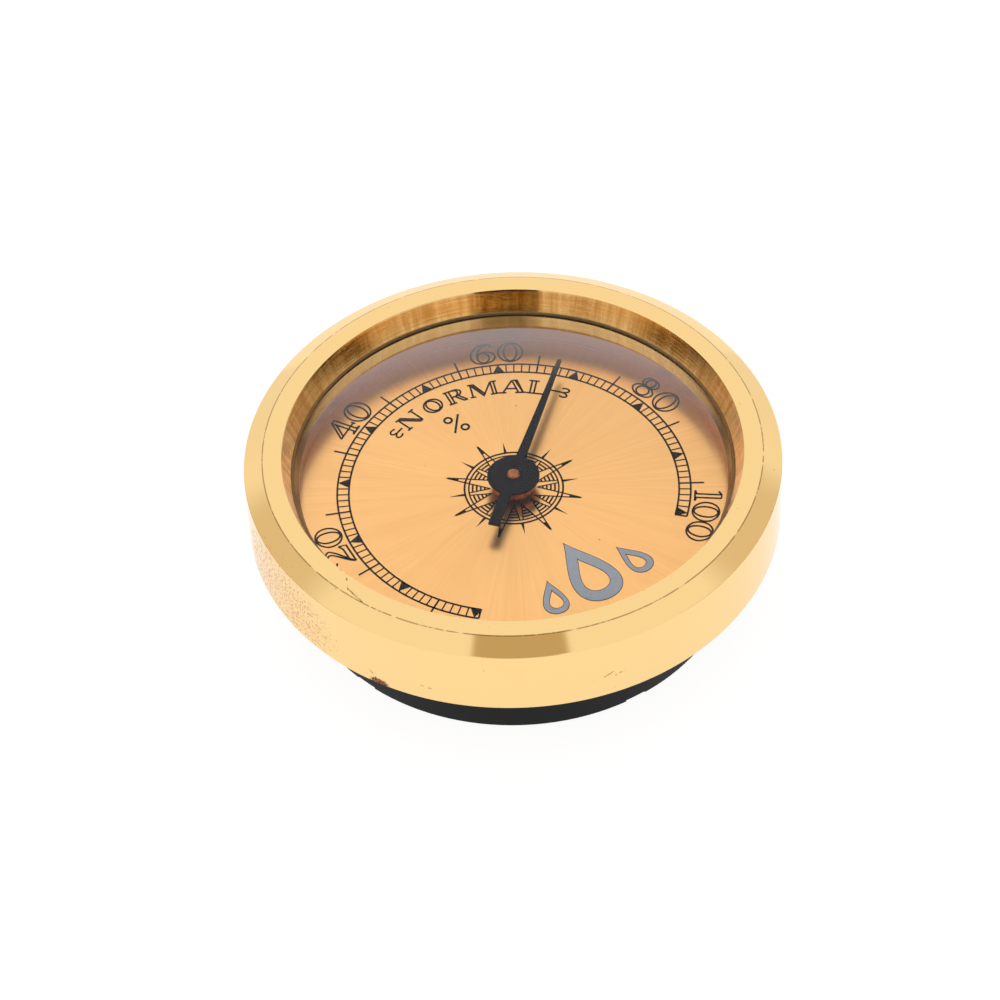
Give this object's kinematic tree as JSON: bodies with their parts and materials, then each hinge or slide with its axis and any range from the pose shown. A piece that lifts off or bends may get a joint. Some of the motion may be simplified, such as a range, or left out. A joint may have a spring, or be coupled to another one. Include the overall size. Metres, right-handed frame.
{
  "type": "dial hygrometer",
  "caption": "Round inset dial hygrometer with a turned brass bezel, domed crystal, printed dial, pointer driven by a humidity-sensing coil, and a plastic case cup that sits in a hole.",
  "frame": {"origin": "centre of the back face, which the part rests on", "axes": "+Z out of the dial, along the pointer shaft; +Y towards the dial's 12 o'clock, which is 50 percent; +X to the dial's right"},
  "size_m": [0.046, 0.046, 0.0144],
  "materials": {
    "bezel_brass": "polished and lacquered",
    "crystal_clear": "clear, polished",
    "gasket_rubber": "matte",
    "spacer_gilt": "satin gilt",
    "dial_gilt": "brushed outwards from the centre, lacquered",
    "dial_ink": "printed, satin",
    "emblem_silver": "printed silver grey",
    "case_plastic": "moulded, satin",
    "movement_brass": "stamped and turned",
    "movement_steel": "bright zinc",
    "bearing_nylon": "natural nylon",
    "coil_strip": "rolled strip with a pale sensing layer",
    "shaft_copper": "turned, copper coloured",
    "pointer_paint": "matte charcoal"
  },
  "bodies": {
    "case": {"bezel": "bezel_brass", "crystal": "crystal_clear", "crystal_gasket": "gasket_rubber", "spacer_ring": "spacer_gilt", "dial_plate": "dial_gilt", "case_cup": "case_plastic", "bridge_pillars": "movement_brass", "movement_bridge": "movement_brass", "bridge_screws": "movement_steel", "front_bush": "shaft_copper", "friction_washer": "movement_steel"},
    "adjuster": {"calibration_bush": "movement_brass", "rear_bearing": "bearing_nylon", "retaining_clip": "movement_steel", "anchor_arm": "movement_brass", "coil_stud": "movement_brass", "sensing_coil": "coil_strip"},
    "needle": {"coil_collet": "movement_brass", "pointer_shaft": "shaft_copper", "pointer_hub": "shaft_copper", "pointer": "pointer_paint"}
  },
  "joints": [
    {"name": "calibration_turn", "type": "hinge", "parent": "case", "child": "adjuster", "pos_m": [0, 0, 0.0028], "axis": [0, 0, 1], "range_deg": [-30, 30]},
    {"name": "pointer_turn", "type": "hinge", "parent": "adjuster", "child": "needle", "pos_m": [0, 0, 0.009], "axis": [0, 0, -1], "range_deg": [-183.6, 86.4], "stiffness_Nm_per_rad": 0.0003, "deforming": ["sensing_coil"]}
  ]
}
